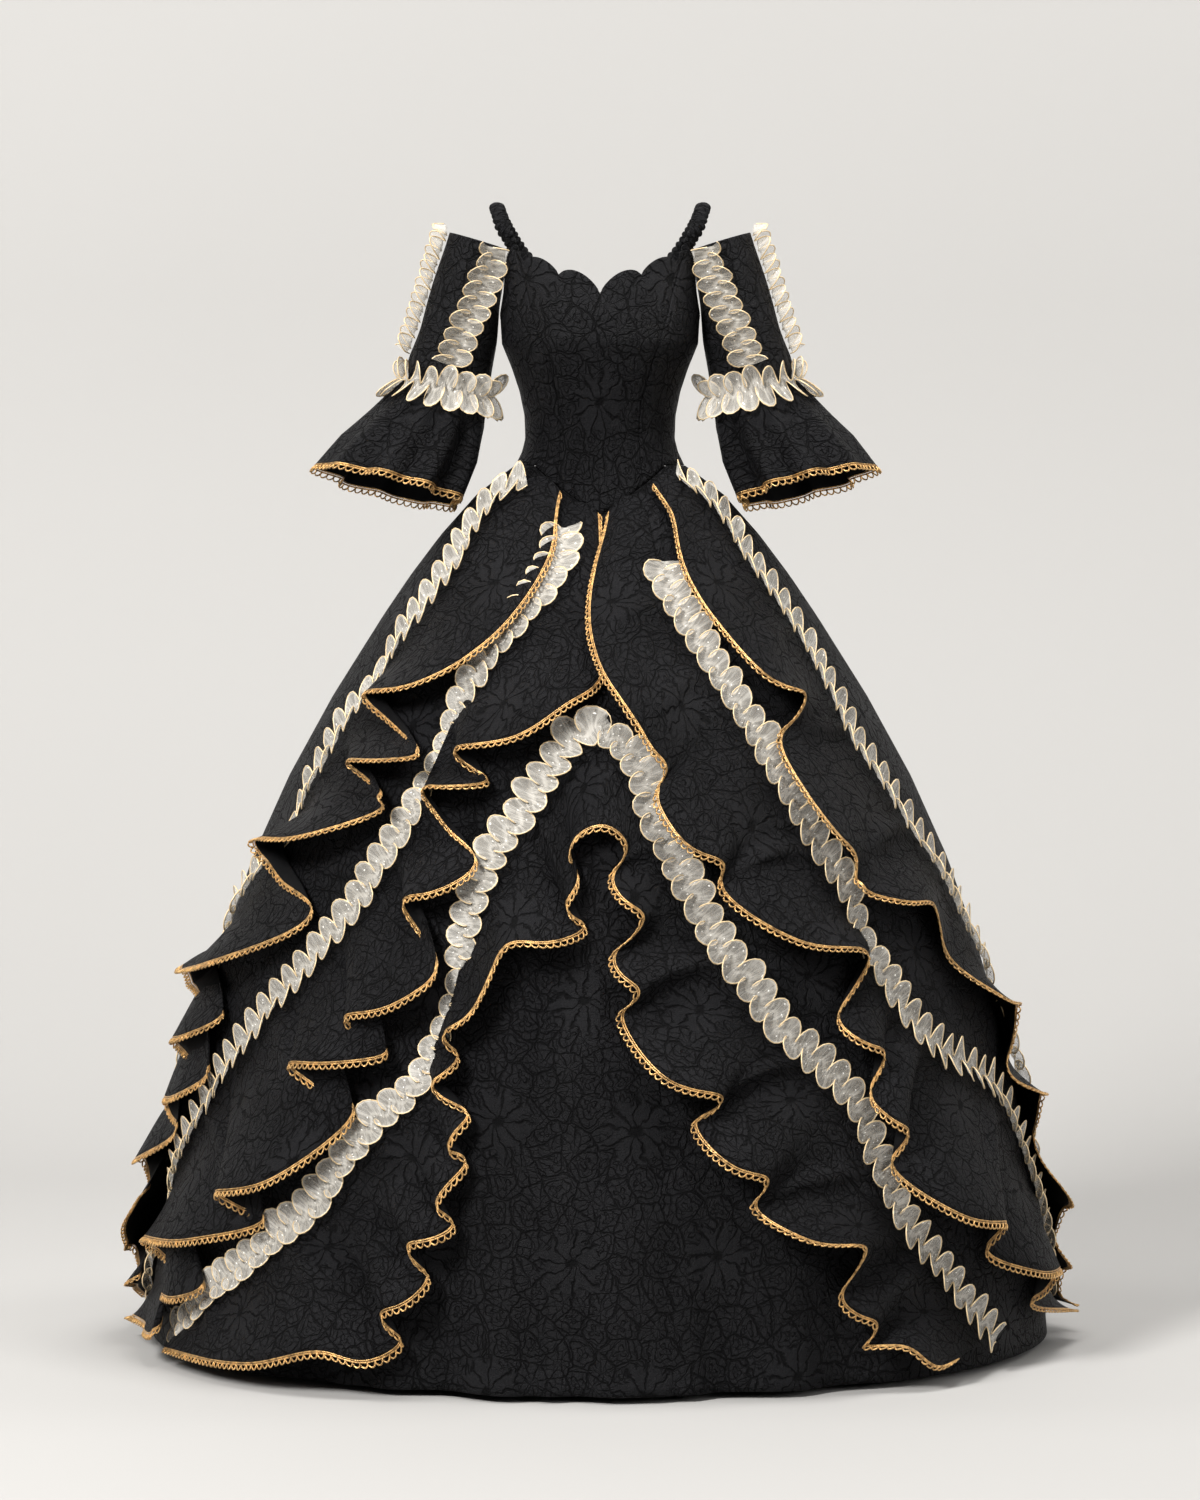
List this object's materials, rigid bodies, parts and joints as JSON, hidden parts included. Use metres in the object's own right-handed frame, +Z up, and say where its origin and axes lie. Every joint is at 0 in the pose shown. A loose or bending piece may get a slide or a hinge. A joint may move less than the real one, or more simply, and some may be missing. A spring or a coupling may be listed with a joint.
{
  "type": "ball gown",
  "caption": "Full-length black jacquard ball gown with a corset-shaped bodice, bell sleeves and cascading flounces edged in gold braid and ivory organza.",
  "frame": {"origin": "centre of the waist, where the wearer's waist holds the gown up, 1.10 m above the floor that the hem hangs just over", "axes": "+Z up the body, the front of the gown towards -Y, +X towards the wearer's left"},
  "size_m": [1.1994, 1.1136, 1.4073],
  "materials": {
    "black_jacquard": "satin",
    "gold_braid": "metallic thread",
    "ivory_organza": "sheer"
  },
  "bodies": {
    "root": {"bodice_back_left": "black_jacquard", "bodice_back_right": "black_jacquard", "bodice_front": "black_jacquard", "bodice_side_front_left": "black_jacquard", "bodice_side_front_right": "black_jacquard", "braid_1_left": "gold_braid", "braid_1_right": "gold_braid", "braid_2_left": "gold_braid", "braid_2_right": "gold_braid", "braid_3": "gold_braid", "flounce_1_left": "black_jacquard", "flounce_1_right": "black_jacquard", "flounce_2_left": "black_jacquard", "flounce_2_right": "black_jacquard", "flounce_3": "black_jacquard", "ruche_1_left": "ivory_organza", "ruche_1_right": "ivory_organza", "ruche_2_left": "ivory_organza", "ruche_2_right": "ivory_organza", "ruche_3": "ivory_organza", "skirt_back": "black_jacquard", "skirt_front": "black_jacquard", "sleeve_bell_left": "black_jacquard", "sleeve_bell_right": "black_jacquard", "sleeve_braid_left": "gold_braid", "sleeve_braid_right": "gold_braid", "sleeve_left": "black_jacquard", "sleeve_right": "black_jacquard", "sleeve_ruche_band_left": "ivory_organza", "sleeve_ruche_band_right": "ivory_organza", "sleeve_ruche_front_left": "ivory_organza", "sleeve_ruche_front_right": "ivory_organza", "sleeve_ruche_outer_left": "ivory_organza", "sleeve_ruche_outer_right": "ivory_organza", "strap_left": "black_jacquard", "strap_right": "black_jacquard"}
  },
  "joints": []
}
